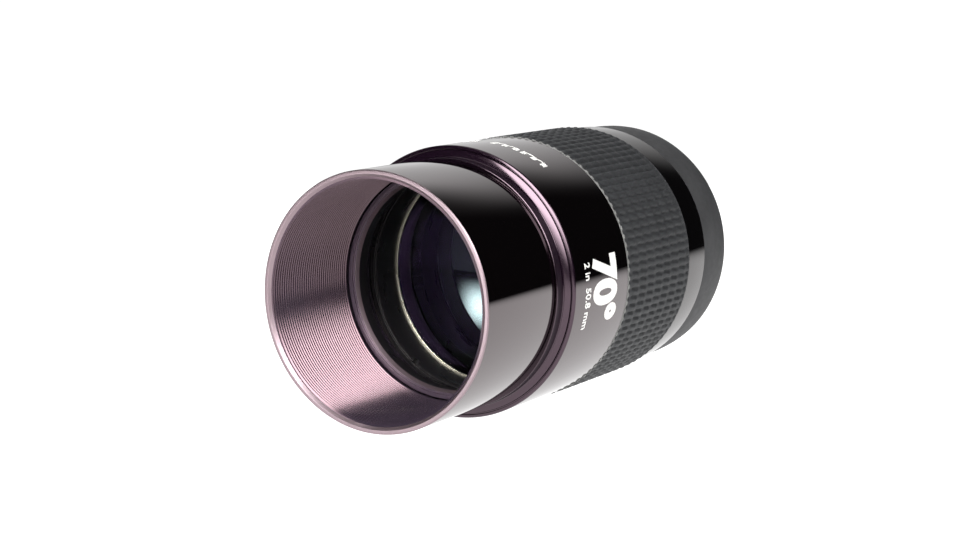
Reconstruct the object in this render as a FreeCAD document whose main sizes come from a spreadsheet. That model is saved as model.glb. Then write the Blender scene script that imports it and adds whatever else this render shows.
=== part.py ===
"""Two-inch wide-field telescope eyepiece, lying on its side.

+Y runs along the optical axis from the nose to the eye, +Z is up, and the origin is on the axis
at the shoulder where the nose barrel meets the housing. All sizes are in millimetres.
"""

import FreeCAD, Part
import Sketcher
import math
import os
import re

# alias, value, what it is. Stations are distances along the axis from the shoulder.
DIMENSIONS = (
    ("barrel_radius", 25.4, "two-inch nose"),
    ("barrel_length", 29.1, "rim to shoulder"),
    ("barrel_spigot_radius", 24.95, "screwed into the housing"),
    ("barrel_spigot_end", 6.1, "station"),
    ("barrel_bore_radius", 23.9, "inside the spigot"),
    ("barrel_lip_radius", 22.6, "inner lip that the field stop screws into"),
    ("barrel_lip_start", -0.2, "station"),
    ("barrel_lip_end", 1.8, "station"),
    ("filter_crest_radius", 23.6, "M48 x 0.75 filter thread, at its crests"),
    ("filter_thread_depth", 26.2, "from the rim"),
    ("thread_relief_radius", 24.1, "run-out groove behind the thread"),
    ("edge_break", 0.25, "chamfer on turned edges"),
    ("fit_gap", 0.05, "radial gap between fixed parts"),
    ("stop_radius", 21.75, "field stop opening"),
    ("stop_flange_radius", 23.5, "field stop flange"),
    ("stop_front", -2.3, "station"),
    ("stop_land_radius", 22.7, "inner edge of the flange's flat"),
    ("stop_edge_front", -1.0, "station of the opening's edge"),
    ("housing_radius", 27.75, "polished front of the housing"),
    ("housing_bore_radius", 25.05, "holds the lens cell"),
    ("face_land_radius", 26.05, "flat land round the nose"),
    ("face_groove_radius", 26.95, "inner edge of the face's groove"),
    ("face_rim_radius", 27.2, "outer edge of the face's groove"),
    ("face_slope", 0.35, "fall of the face's cone"),
    ("face_groove_floor", 0.8, "station"),
    ("grip_start", 23.9, "station"),
    ("grip_end", 53.7, "station"),
    ("grip_seat_radius", 26.5, "recess under the rubber"),
    ("grip_radius", 27.95, "outside of the rubber grip"),
    ("grip_edge", 0.35, "rounded-off edge of the rubber"),
    ("eye_thread_radius", 26.0, "housing's thread for the eye-end ring"),
    ("eye_thread_end", 58.0, "station"),
    ("housing_lip_start", 50.0, "station"),
    ("housing_lip_radius", 23.0, "lip that the lens cell rests on"),
    ("ring_radius", 27.35, "polished eye-end ring"),
    ("ring_end", 62.9, "station"),
    ("ring_flange_start", 58.3, "station"),
    ("ring_throat_radius", 20.8, "opening over the eye lens"),
    ("ring_throat_end", 59.6, "station"),
    ("ring_mouth_radius", 23.4, "wide end of the cone"),
    ("cup_seat_radius", 24.6, "spigot under the eyecup"),
    ("cup_groove_radius", 24.0, "groove for the eyecup's bead"),
    ("cup_groove_start", 63.6, "station"),
    ("cup_groove_end", 64.9, "station"),
    ("cup_seat_end", 67.0, "station"),
    ("cell_radius", 25.0, "lens cell, large end"),
    ("cell_wide_bore", 24.1, "bore for the field and centre lenses"),
    ("cell_start", 8.0, "station"),
    ("cell_flange_start", 44.6, "station"),
    ("cell_flange_end", 46.1, "station"),
    ("cell_flange_radius", 19.2, "opening between centre and eye lenses"),
    ("cell_neck_radius", 22.9, "lens cell, small end"),
    ("cell_neck_bore", 20.6, "bore for the eye lenses"),
    ("cell_step_start", 48.3, "station"),
    ("cell_step_radius", 23.8, "floor of the seal's step"),
    ("cell_shoulder", 49.9, "station"),
    ("cell_end", 58.2, "station"),
    ("seal_section", 0.55, "radius of the seal's cord"),
    ("lock_station", 36.0, "station of the grub screws"),
    ("lock_groove_radius", 24.65, "groove that their tips press in"),
    ("lock_groove_half", 1.1, "half width of that groove's floor"),
    ("lock_screw_radius", 0.98, "M2 grub screw"),
    ("lock_screw_inner", 24.7, "radius that the tip reaches"),
    ("lock_screw_outer", 26.35, "radius of the outer end"),
    ("lock_socket_width", 0.9, "hexagon socket, across corners"),
    ("lock_socket_depth", 0.7, "hexagon socket"),
    ("spanner_slot_width", 1.2, "slots in the retaining rings"),
    ("spanner_slot_depth", 1.4, "slots in the retaining rings"),
    ("field_ring_front", 7.5, "station"),
    ("field_ring_end", 15.25, "station"),
    ("field_ring_bore", 23.15, "inside of the retaining ring"),
    ("seat_ring_radius", 22.9, "inside of the bright seat ring"),
    ("seat_ring_end", 15.85, "station"),
    ("wide_lens_radius", 23.95, "field and centre lenses"),
    ("eye_lens_radius", 20.5, "eye lenses"),
    ("cement_gap", 0.02, "cement between the lenses of a pair"),
    ("field_front_vertex", 17.9, "station"),
    ("field_front_curve", 150.0, "hollow to the field"),
    ("field_joint_vertex", 19.7, "station"),
    ("field_joint_curve", 60.0, "bulges to the field"),
    ("field_rear_vertex", 30.7, "station"),
    ("field_rear_curve", 60.0, "bulges to the eye"),
    ("centre_front_vertex", 31.4, "station"),
    ("centre_rear_vertex", 41.4, "station"),
    ("centre_curve", 70.0, "both faces bulge"),
    ("spacer_bore", 22.3, "inside of the spacer rings"),
    ("field_spacer_start", 26.5, "station"),
    ("field_spacer_end", 34.95, "station"),
    ("centre_spacer_start", 37.85, "station"),
    ("centre_spacer_end", 44.55, "station"),
    ("eye_front_vertex", 41.9, "station"),
    ("eye_front_curve", 45.0, "bulges to the field"),
    ("eye_joint_vertex", 54.4, "station"),
    ("eye_joint_curve", 38.0, "bulges to the eye"),
    ("eye_rear_vertex", 56.3, "station"),
    ("eye_rear_curve", 200.0, "bulges to the eye"),
    ("eye_ring_start", 55.5, "station"),
    ("eye_ring_end", 58.1, "station"),
    ("eye_ring_bore", 18.6, "inside of the eye retaining ring"),
    ("cup_foot_radius", 26.3, "eyecup beside the eye-end ring"),
    ("cup_waist_radius", 26.75, "eyecup at the end of its foot"),
    ("cup_belly_radius", 27.0, "eyecup at its widest"),
    ("cup_shoulder_radius", 26.75, "eyecup below its rounded rim"),
    ("cup_wall_radius", 24.9, "inside of the eyecup"),
    ("cup_foot_start", 63.0, "station"),
    ("cup_skirt_start", 66.0, "station"),
    ("cup_belly", 68.5, "station"),
    ("cup_lip_start", 72.0, "station"),
    ("cup_end", 75.9, "station"),
    ("cup_gap", 0.05, "parting plane between the cup's rigid and folding parts"),
)

doc = FreeCAD.newDocument("telescope_eyepiece")


def fill_sheet():
    """Put every driving dimension in the sheet as a plain number with an alias."""
    table = doc.addObject("Spreadsheet::Sheet", "Dimensions")
    for row, (alias, size, note) in enumerate(DIMENSIONS, start=1):
        table.set(f"A{row}", alias)
        table.set(f"B{row}", str(size))
        table.set(f"C{row}", note)
        table.setAlias(f"B{row}", alias)
    doc.recompute()
    return table


sheet = fill_sheet()


def bound(formula):
    """A formula of dimension names, as an expression on the sheet's cells."""
    return re.sub(r"[a-z]\w*", lambda word: "Dimensions." + word.group(), formula)


def value(formula):
    """The number that a formula of dimension names gives now."""
    return float(sheet.evalExpression(bound(formula)))


def origin_feature(body, role):
    """One of a body's own origin planes or axes."""
    return next(feature for feature in body.Origin.OriginFeatures if feature.Role == role)


def sketch_on(body, name, role, offset="0"):
    """An empty sketch on an origin plane, moved along that plane's normal by a formula."""
    sketch = body.newObject("Sketcher::SketchObject", name)
    sketch.AttachmentSupport = [(origin_feature(body, role), "")]
    sketch.MapMode = "FlatFace"
    sketch.setExpression("AttachmentOffset.Base.z", bound(offset))
    return sketch


def pin_point(sketch, edge, radius, station):
    """Tie the start of an edge to its distance from the axis and its station."""
    for kind, formula in (("DistanceX", radius), ("DistanceY", station)):
        number = sketch.addConstraint(Sketcher.Constraint(kind, -1, 1, edge, 1, value(formula)))
        sketch.setExpression(f"Constraints[{number}]", bound(formula))


def spin(body, sketch):
    """Turn a sketch's outline all the way round the optical axis."""
    turning = body.newObject("PartDesign::Revolution", body.Name + "_turning")
    turning.Profile = sketch
    turning.ReferenceAxis = (sketch, ["V_Axis"])
    turning.Angle = 360
    return turning


def turned(name, outline):
    """A turned piece, from its outline as pairs of formulas: distance from axis, station."""
    body = doc.addObject("PartDesign::Body", name)
    body.Label = name
    sketch = sketch_on(body, name + "_outline", "XY_Plane")
    corners = [FreeCAD.Vector(value(radius), value(station), 0) for radius, station in outline]
    count = len(corners)
    for edge in range(count):
        sketch.addGeometry(Part.LineSegment(corners[edge], corners[(edge + 1) % count]), False)
    for edge in range(count):
        joint = Sketcher.Constraint("Coincident", edge, 2, (edge + 1) % count, 1)
        sketch.addConstraint(joint)
    for edge, (radius, station) in enumerate(outline):
        pin_point(sketch, edge, radius, station)
    spin(body, sketch)
    return body


def add_lens_face(sketch, vertex, curve, bulge, rim):
    """Add one spherical face as an arc from the axis to the rim.

    bulge is -1 for a face whose middle stands nearest the field, 1 for nearest the eye.
    Returns the arc's number and which of its ends lie on the axis and on the rim.
    """
    radius = value(curve)
    centre = FreeCAD.Vector(0, value(vertex) - bulge * radius, 0)
    opening = math.asin(value(rim) / radius)
    middle = bulge * math.pi / 2
    first, last = (middle, middle + opening) if bulge < 0 else (middle - opening, middle)
    circle = Part.Circle(centre, FreeCAD.Vector(0, 0, 1), radius)
    arc = sketch.addGeometry(Part.ArcOfCircle(circle, first, last), False)
    sketch.addConstraint(Sketcher.Constraint("PointOnObject", arc, 3, -2))
    number = sketch.addConstraint(Sketcher.Constraint("Radius", arc, radius))
    sketch.setExpression(f"Constraints[{number}]", bound(curve))
    return (arc, 1, 2) if bulge < 0 else (arc, 2, 1)


def lens(name, rim, front, rear):
    """A lens ground to a rim radius. front and rear are each vertex, curve, bulge."""
    body = doc.addObject("PartDesign::Body", name)
    body.Label = name
    sketch = sketch_on(body, name + "_outline", "XY_Plane")
    low = FreeCAD.Vector(0, value(front[0]), 0)
    high = FreeCAD.Vector(0, value(rear[0]), 0)
    axis_line = sketch.addGeometry(Part.LineSegment(low, high), False)
    front_arc, front_axis_end, front_rim_end = add_lens_face(sketch, *front, rim)
    rear_arc, rear_axis_end, rear_rim_end = add_lens_face(sketch, *rear, rim)
    rim_low = sketch.getPoint(front_arc, front_rim_end)
    rim_high = sketch.getPoint(rear_arc, rear_rim_end)
    rim_line = sketch.addGeometry(Part.LineSegment(rim_low, rim_high), False)
    sketch.addConstraint(Sketcher.Constraint("PointOnObject", axis_line, 1, -2))
    sketch.addConstraint(Sketcher.Constraint("PointOnObject", axis_line, 2, -2))
    for end, formula in ((1, front[0]), (2, rear[0])):
        place = Sketcher.Constraint("DistanceY", -1, 1, axis_line, end, value(formula))
        sketch.setExpression(f"Constraints[{sketch.addConstraint(place)}]", bound(formula))
    for joined in (
        (axis_line, 1, front_arc, front_axis_end),
        (axis_line, 2, rear_arc, rear_axis_end),
        (rim_line, 1, front_arc, front_rim_end),
        (rim_line, 2, rear_arc, rear_rim_end),
    ):
        sketch.addConstraint(Sketcher.Constraint("Coincident", *joined))
    sketch.addConstraint(Sketcher.Constraint("Vertical", rim_line))
    width = Sketcher.Constraint("DistanceX", -1, 1, rim_line, 1, value(rim))
    sketch.setExpression(f"Constraints[{sketch.addConstraint(width)}]", bound(rim))
    spin(body, sketch)
    return body


def cut_spanner_slots(body, station, outer, towards_eye):
    """Cut one slot straight across a ring's face, which leaves two, half a turn apart."""
    doc.recompute()
    before = body.Shape.Volume
    # The XZ plane's normal points to the field, so a station is a negative offset.
    sketch = sketch_on(body, body.Name + "_slot_outline", "XZ_Plane", f"0 - ({station})")
    half_long = value(outer) + 1
    half_wide = value("spanner_slot_width / 2")
    ends = ((-1, -1), (1, -1), (1, 1), (-1, 1))
    corners = [FreeCAD.Vector(x * half_long, z * half_wide, 0) for x, z in ends]
    for edge in range(4):
        sketch.addGeometry(Part.LineSegment(corners[edge], corners[(edge + 1) % 4]), False)
    for edge in range(4):
        sketch.addConstraint(Sketcher.Constraint("Coincident", edge, 2, (edge + 1) % 4, 1))
    for edge, (x, z) in enumerate(ends):
        sides = ("DistanceX", x, f"({outer} + 1)"), ("DistanceY", z, "spanner_slot_width / 2")
        for kind, sign, formula in sides:
            size = f"{sign} * {formula}"
            tie = Sketcher.Constraint(kind, -1, 1, edge, 1, value(size))
            sketch.setExpression(f"Constraints[{sketch.addConstraint(tie)}]", bound(size))
    slot = body.newObject("PartDesign::Pocket", body.Name + "_slots")
    slot.Profile = sketch
    slot.setExpression("Length", bound("spanner_slot_depth"))
    slot.Reversed = towards_eye
    doc.recompute()
    assert body.Shape.Volume < before - 1, body.Name + " slots cut nothing"


def place_along_axis(piece, station):
    """Stand a primitive, whose own axis is Z, on the optical axis at a station."""
    turn = FreeCAD.Rotation(FreeCAD.Vector(1, 0, 0), -90)
    piece.Placement = FreeCAD.Placement(FreeCAD.Vector(0, value(station), 0), turn)


def make_nose_barrel():
    """Two-inch barrel, threaded inside for filters, with a lip for the field stop."""
    rim = "0 - barrel_length"
    thread_end = "filter_thread_depth - barrel_length"
    return turned("nose_barrel", (
        ("filter_crest_radius + edge_break", rim),
        ("barrel_radius - edge_break", rim),
        ("barrel_radius", rim + " + edge_break"),
        ("barrel_radius", "0"),
        ("barrel_spigot_radius", "0"),
        ("barrel_spigot_radius", "barrel_spigot_end - edge_break"),
        ("barrel_spigot_radius - edge_break", "barrel_spigot_end"),
        ("barrel_bore_radius", "barrel_spigot_end"),
        ("barrel_bore_radius", "barrel_lip_end"),
        ("barrel_lip_radius", "barrel_lip_end"),
        ("barrel_lip_radius", "barrel_lip_start"),
        ("thread_relief_radius", "barrel_lip_start"),
        ("thread_relief_radius", thread_end),
        ("filter_crest_radius", thread_end),
        ("filter_crest_radius", rim + " + edge_break"),
    ))


def make_field_stop_ring():
    """Ring screwed into the barrel's lip, whose edge bounds the field of view."""
    return turned("field_stop_ring", (
        ("stop_radius", "stop_edge_front"),
        ("stop_land_radius - 0.4", "stop_front + 0.5"),
        ("stop_land_radius", "stop_front + 0.5"),
        ("stop_land_radius", "stop_front"),
        ("stop_flange_radius", "stop_front"),
        ("stop_flange_radius", "barrel_lip_start"),
        ("barrel_lip_radius - fit_gap", "barrel_lip_start"),
        ("barrel_lip_radius - fit_gap", "barrel_lip_end"),
        ("stop_radius", "barrel_lip_end"),
    ))


def make_main_housing():
    """Polished body with a ringed front face, a seat for the grip and three screw holes."""
    body = turned("main_housing", (
        ("housing_bore_radius", "0"),
        ("face_land_radius", "0"),
        ("face_groove_radius", "face_slope"),
        ("face_groove_radius", "face_groove_floor"),
        ("face_rim_radius", "face_groove_floor"),
        ("face_rim_radius", "face_slope"),
        ("housing_radius - edge_break", "face_slope"),
        ("housing_radius", "face_slope + edge_break"),
        ("housing_radius", "grip_start - edge_break"),
        ("housing_radius - edge_break", "grip_start"),
        ("grip_seat_radius", "grip_start"),
        ("grip_seat_radius", "grip_end"),
        ("eye_thread_radius", "grip_end"),
        ("eye_thread_radius", "eye_thread_end"),
        ("housing_lip_radius", "eye_thread_end"),
        ("housing_lip_radius", "housing_lip_start"),
        ("housing_bore_radius", "housing_lip_start"),
    ))
    doc.recompute()
    before = body.Shape.Volume
    sketch = sketch_on(body, "lock_hole_outline", "XY_Plane", "housing_radius")
    centre = FreeCAD.Vector(0, value("lock_station"), 0)
    radius = value("lock_screw_radius + fit_gap")
    hole = sketch.addGeometry(Part.Circle(centre, FreeCAD.Vector(0, 0, 1), radius), False)
    sketch.addConstraint(Sketcher.Constraint("PointOnObject", hole, 3, -2))
    place = Sketcher.Constraint("DistanceY", -1, 1, hole, 3, value("lock_station"))
    sketch.setExpression(f"Constraints[{sketch.addConstraint(place)}]", bound("lock_station"))
    size = sketch.addConstraint(Sketcher.Constraint("Radius", hole, radius))
    sketch.setExpression(f"Constraints[{size}]", bound("lock_screw_radius + fit_gap"))
    drilling = body.newObject("PartDesign::Pocket", "lock_hole")
    drilling.Profile = sketch
    drilling.setExpression("Length", bound("housing_radius - 10"))
    doc.recompute()
    round_body = body.newObject("PartDesign::PolarPattern", "lock_holes")
    round_body.Originals = [drilling]
    round_body.Axis = (origin_feature(body, "Y_Axis"), [""])
    round_body.Angle = 360
    round_body.Occurrences = 3
    body.Tip = round_body
    doc.recompute()
    assert body.Shape.Volume < before - 5, "the lock holes cut nothing"
    return body


def make_grip_sleeve():
    """Rubber sleeve stretched over the housing's seat."""
    return turned("grip_sleeve", (
        ("grip_seat_radius + fit_gap", "grip_start + fit_gap * 2"),
        ("grip_radius - grip_edge", "grip_start + fit_gap * 2"),
        ("grip_radius", "grip_start + fit_gap * 2 + grip_edge"),
        ("grip_radius", "grip_end - fit_gap * 2 - grip_edge"),
        ("grip_radius - grip_edge", "grip_end - fit_gap * 2"),
        ("grip_seat_radius + fit_gap", "grip_end - fit_gap * 2"),
    ))


def make_eye_end_ring():
    """Polished ring screwed over the housing's eye end, with a spigot for the eyecup."""
    return turned("eye_end_ring", (
        ("eye_thread_radius + fit_gap", "grip_end"),
        ("ring_radius - edge_break", "grip_end"),
        ("ring_radius", "grip_end + edge_break"),
        ("ring_radius", "ring_end - edge_break"),
        ("ring_radius - edge_break", "ring_end"),
        ("cup_seat_radius", "ring_end"),
        ("cup_seat_radius", "cup_groove_start"),
        ("cup_groove_radius", "cup_groove_start"),
        ("cup_groove_radius", "cup_groove_end"),
        ("cup_seat_radius", "cup_groove_end"),
        ("cup_seat_radius", "cup_seat_end - edge_break"),
        ("cup_seat_radius - edge_break", "cup_seat_end"),
        ("ring_mouth_radius", "cup_seat_end"),
        ("ring_throat_radius", "ring_throat_end"),
        ("ring_throat_radius", "ring_flange_start"),
        ("eye_thread_radius + fit_gap", "ring_flange_start"),
    ))


def make_lens_cell():
    """Blackened tube that holds all the glass, with a flange between its two bores."""
    return turned("lens_cell", (
        ("cell_wide_bore", "cell_start"),
        ("cell_radius", "cell_start"),
        ("cell_radius", "lock_station - lock_groove_half * 2"),
        ("lock_groove_radius", "lock_station - lock_groove_half"),
        ("lock_groove_radius", "lock_station + lock_groove_half"),
        ("cell_radius", "lock_station + lock_groove_half * 2"),
        ("cell_radius", "cell_step_start"),
        ("cell_step_radius", "cell_step_start"),
        ("cell_step_radius", "cell_shoulder"),
        ("cell_neck_radius", "cell_shoulder"),
        ("cell_neck_radius", "cell_end"),
        ("cell_neck_bore", "cell_end"),
        ("cell_neck_bore", "cell_flange_end"),
        ("cell_flange_radius", "cell_flange_end"),
        ("cell_flange_radius", "cell_flange_start"),
        ("cell_wide_bore", "cell_flange_start"),
    ))


def make_cell_seal():
    """Rubber ring in the step between the lens cell's shoulder and the housing's lip."""
    ring = doc.addObject("Part::Torus", "cell_o_ring")
    ring.Label = "cell_o_ring"
    ring.setExpression("Radius1", bound("(cell_step_radius + housing_bore_radius) / 2"))
    ring.setExpression("Radius2", bound("seal_section"))
    place_along_axis(ring, "(cell_step_start + housing_lip_start) / 2")
    return ring


def make_lock_screws():
    """Three grub screws through the housing, under the grip, that hold the lens cell."""
    screws = []
    for number in range(3):
        shank = doc.addObject("Part::Cylinder", f"lock_shank_{number}")
        shank.setExpression("Radius", bound("lock_screw_radius"))
        shank.setExpression("Height", bound("lock_screw_outer - lock_screw_inner"))
        socket = doc.addObject("Part::Prism", f"lock_socket_{number}")
        socket.Polygon = 6
        socket.setExpression("Circumradius", bound("lock_socket_width / 2"))
        socket.setExpression("Height", bound("lock_socket_depth"))
        turn = FreeCAD.Rotation(FreeCAD.Vector(0, 1, 0), 120 * number)
        for piece, start in (
            (shank, "lock_screw_inner"),
            (socket, "lock_screw_outer - lock_socket_depth"),
        ):
            reach = turn.multVec(FreeCAD.Vector(0, 0, value(start)))
            along = FreeCAD.Vector(0, value("lock_station"), 0)
            piece.Placement = FreeCAD.Placement(reach + along, turn)
        screw = doc.addObject("Part::Cut", f"lock_screw_{number}")
        screw.Base = shank
        screw.Tool = socket
        screws.append(screw)
    group = doc.addObject("Part::Compound", "cell_lock_screws")
    group.Label = "cell_lock_screws"
    group.Links = screws
    return group


def make_field_retaining_ring():
    """Threaded ring at the field end of the cell, with two spanner slots."""
    body = turned("field_retaining_ring", (
        ("field_ring_bore", "field_ring_front + 0.5"),
        ("field_ring_bore + 0.25", "field_ring_front"),
        ("field_ring_bore + 0.5", "field_ring_front"),
        ("cell_wide_bore - fit_gap", "field_ring_front + 0.4"),
        ("cell_wide_bore - fit_gap", "field_ring_end"),
        ("field_ring_bore", "field_ring_end"),
    ))
    cut_spanner_slots(body, "field_ring_front", "cell_wide_bore", False)
    slot_angle = 54
    body.Placement.Rotation = FreeCAD.Rotation(FreeCAD.Vector(0, -1, 0), slot_angle)
    return body


def make_field_seat_ring():
    """Thin bare metal ring between the retaining ring and the glass."""
    return turned("field_seat_ring", (
        ("seat_ring_radius", "field_ring_end + fit_gap"),
        ("cell_wide_bore - fit_gap", "field_ring_end + fit_gap"),
        ("cell_wide_bore - fit_gap", "seat_ring_end"),
        ("seat_ring_radius", "seat_ring_end"),
    ))


def make_spacer(name, start, end):
    """Blackened ring that holds two lenses apart."""
    return turned(name, (
        ("spacer_bore", start),
        ("cell_wide_bore - fit_gap", start),
        ("cell_wide_bore - fit_gap", end),
        ("spacer_bore", end),
    ))


def make_eye_retaining_ring():
    """Threaded ring over the eye lens, bevelled inside, with two spanner slots."""
    body = turned("eye_retaining_ring", (
        ("eye_ring_bore", "eye_ring_start"),
        ("cell_neck_bore - fit_gap", "eye_ring_start"),
        ("cell_neck_bore - fit_gap", "eye_ring_end"),
        ("eye_ring_bore + 1", "eye_ring_end"),
        ("eye_ring_bore", "eye_ring_end - 1.4"),
    ))
    cut_spanner_slots(body, "eye_ring_end", "cell_neck_bore", True)
    return body


def make_lenses():
    """A cemented pair at each end with a single lens between them."""
    field_side, eye_side = -1, 1
    joint = "cement_gap"
    lens(
        "field_flint_lens",
        "wide_lens_radius",
        ("field_front_vertex", "field_front_curve", eye_side),
        ("field_joint_vertex", "field_joint_curve", field_side),
    )
    lens(
        "field_crown_lens",
        "wide_lens_radius",
        (f"field_joint_vertex + {joint}", "field_joint_curve", field_side),
        ("field_rear_vertex", "field_rear_curve", eye_side),
    )
    lens(
        "centre_lens",
        "wide_lens_radius",
        ("centre_front_vertex", "centre_curve", field_side),
        ("centre_rear_vertex", "centre_curve", eye_side),
    )
    lens(
        "eye_crown_lens",
        "eye_lens_radius",
        ("eye_front_vertex", "eye_front_curve", field_side),
        ("eye_joint_vertex", "eye_joint_curve", eye_side),
    )
    lens(
        "eye_flint_lens",
        "eye_lens_radius",
        (f"eye_joint_vertex + {joint}", "eye_joint_curve", eye_side),
        ("eye_rear_vertex", "eye_rear_curve", eye_side),
    )


def make_eyecup():
    """Rubber eyecup in three lengths: a foot that grips the ring, a skirt that folds, a lip."""
    turned("eyecup_base", (
        ("cup_seat_radius + fit_gap", "cup_foot_start"),
        ("cup_foot_radius", "cup_foot_start"),
        ("cup_waist_radius", "cup_skirt_start - cup_gap"),
        ("cup_seat_radius + fit_gap", "cup_skirt_start - cup_gap"),
        ("cup_seat_radius + fit_gap", "cup_groove_end - fit_gap"),
        ("cup_groove_radius + fit_gap", "cup_groove_end - fit_gap"),
        ("cup_groove_radius + fit_gap", "cup_groove_start + fit_gap"),
        ("cup_seat_radius + fit_gap", "cup_groove_start + fit_gap"),
    ))
    turned("eyecup_skirt", (
        ("cup_wall_radius", "cup_skirt_start"),
        ("cup_waist_radius", "cup_skirt_start"),
        ("cup_belly_radius", "cup_belly"),
        ("cup_belly_radius", "cup_lip_start - cup_gap"),
        ("cup_wall_radius", "cup_lip_start - cup_gap"),
    ))
    turned("eyecup_lip", (
        ("cup_wall_radius", "cup_lip_start"),
        ("cup_belly_radius", "cup_lip_start"),
        ("cup_shoulder_radius", "cup_end - 1"),
        ("cup_shoulder_radius - 0.5", "cup_end"),
        ("cup_wall_radius + 0.4", "cup_end"),
        ("cup_wall_radius", "cup_end - 0.4"),
    ))


make_nose_barrel()
make_field_stop_ring()
make_main_housing()
make_grip_sleeve()
make_eye_end_ring()
make_lens_cell()
make_cell_seal()
make_lock_screws()
make_field_retaining_ring()
make_field_seat_ring()
make_lenses()
make_spacer("field_spacer_ring", "field_spacer_start", "field_spacer_end")
make_spacer("centre_spacer_ring", "centre_spacer_start", "centre_spacer_end")
make_eye_retaining_ring()
make_eyecup()
doc.recompute()

# The document's failed features raise nothing by themselves, so each one is looked at.
for thing in doc.Objects:
    assert not {"Invalid", "Error"} & set(thing.State), thing.Name

# Sub-parts are the bodies, the seal and the group of screws.
sub_parts = [
    thing
    for thing in doc.Objects
    if thing.TypeId in ("PartDesign::Body", "Part::Torus", "Part::Compound")
]
os.makedirs("parts", exist_ok=True)
for sub_part in sub_parts:
    shape = sub_part.Shape
    assert not shape.isNull() and shape.isValid(), sub_part.Label
    shape.exportStep(f"parts/{sub_part.Label}.step")
    print(f"{sub_part.Label:24s} {len(shape.Solids)} solid  {shape.Volume:9.1f} mm3")
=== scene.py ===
import math

import bpy
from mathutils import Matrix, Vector


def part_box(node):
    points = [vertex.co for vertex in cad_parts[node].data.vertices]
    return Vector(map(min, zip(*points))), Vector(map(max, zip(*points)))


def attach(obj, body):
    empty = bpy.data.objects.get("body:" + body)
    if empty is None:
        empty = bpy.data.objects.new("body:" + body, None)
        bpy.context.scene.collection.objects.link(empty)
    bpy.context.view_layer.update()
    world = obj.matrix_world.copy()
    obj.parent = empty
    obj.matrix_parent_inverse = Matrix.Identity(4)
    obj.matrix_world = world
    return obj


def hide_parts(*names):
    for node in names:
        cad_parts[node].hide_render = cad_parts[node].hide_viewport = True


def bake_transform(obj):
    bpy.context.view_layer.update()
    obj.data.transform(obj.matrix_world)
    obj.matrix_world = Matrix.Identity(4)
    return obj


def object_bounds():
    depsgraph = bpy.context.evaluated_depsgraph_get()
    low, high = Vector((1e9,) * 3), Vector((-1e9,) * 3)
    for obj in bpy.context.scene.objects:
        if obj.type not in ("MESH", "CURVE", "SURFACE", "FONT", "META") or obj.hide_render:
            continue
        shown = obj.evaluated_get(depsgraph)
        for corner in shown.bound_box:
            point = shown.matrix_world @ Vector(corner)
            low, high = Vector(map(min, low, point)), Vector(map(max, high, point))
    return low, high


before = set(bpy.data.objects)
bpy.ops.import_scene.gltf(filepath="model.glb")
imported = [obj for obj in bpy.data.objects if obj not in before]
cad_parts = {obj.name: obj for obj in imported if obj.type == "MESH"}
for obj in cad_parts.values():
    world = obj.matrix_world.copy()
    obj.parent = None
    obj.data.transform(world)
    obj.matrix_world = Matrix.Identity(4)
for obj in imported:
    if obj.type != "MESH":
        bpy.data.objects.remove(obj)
cad_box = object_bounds()

# The eyepiece lies on its side: +Y runs from the nose to the eye, and stations are distances
# along it from the shoulder. Sizes are in millimetres here and become metres in the meshes.
MM = 0.001


# Nose barrel: a two-inch aluminium tube, turned, threaded inside for filters and black
# anodised. The outside is polished; cut faces keep a violet cast. It screws into the housing.

BARREL_RADIUS = 25.4
BARREL_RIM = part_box("nose_barrel")[0].y / MM
BARREL_SPIGOT_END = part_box("nose_barrel")[1].y / MM
BARREL_THREAD_END = -2.9
SPIGOT_RADIUS = 24.95
SPIGOT_BORE = 23.9
STOP_LIP_BORE = 22.6
STOP_LIP_FRONT = -0.2
THREAD_RELIEF = 24.1
RIM_BEVEL = 0.22
COLLAR_LINE = -2.35
COLLAR_LINE_DEPTH = 0.4
THREAD_PITCH = 0.75
THREAD_CREST = 23.6
THREAD_ROOT = 24.01
MOUTH_RADIUS = 24.58
MOUTH_CHAMFER = 0.6
THREAD_STEPS = 160
TURNING_STEPS = 256
ROUNDED_CORNER = 25
SAME_PLACE = 0.002


def start_afresh():
    """Leave edit mode and select nothing."""
    if bpy.context.object and bpy.context.object.mode != "OBJECT":
        bpy.ops.object.mode_set(mode="OBJECT")
    bpy.ops.object.select_all(action="DESELECT")


def eased(outline, ease, closed):
    """An outline with each corner that turns by more than ROUNDED_CORNER degrees rounded off."""
    rounded = []
    count = len(outline)
    for place in range(count):
        if not closed and place in (0, count - 1):
            rounded.append(tuple(outline[place]))
            continue
        before, corner, after = (Vector(outline[(place + k) % count]) for k in (-1, 0, 1))
        back, ahead = before - corner, after - corner
        turn = math.pi - back.angle(ahead)
        if turn < math.radians(ROUNDED_CORNER):
            rounded.append(tuple(corner))
            continue
        reach = min(ease * math.tan(turn / 2), back.length * 0.45, ahead.length * 0.45)
        first = corner + back.normalized() * reach
        last = corner + ahead.normalized() * reach
        for share in (0, 0.25, 0.5, 0.75, 1):
            low, high = first.lerp(corner, share), corner.lerp(last, share)
            rounded.append(tuple(low.lerp(high, share)))
    return rounded


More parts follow.
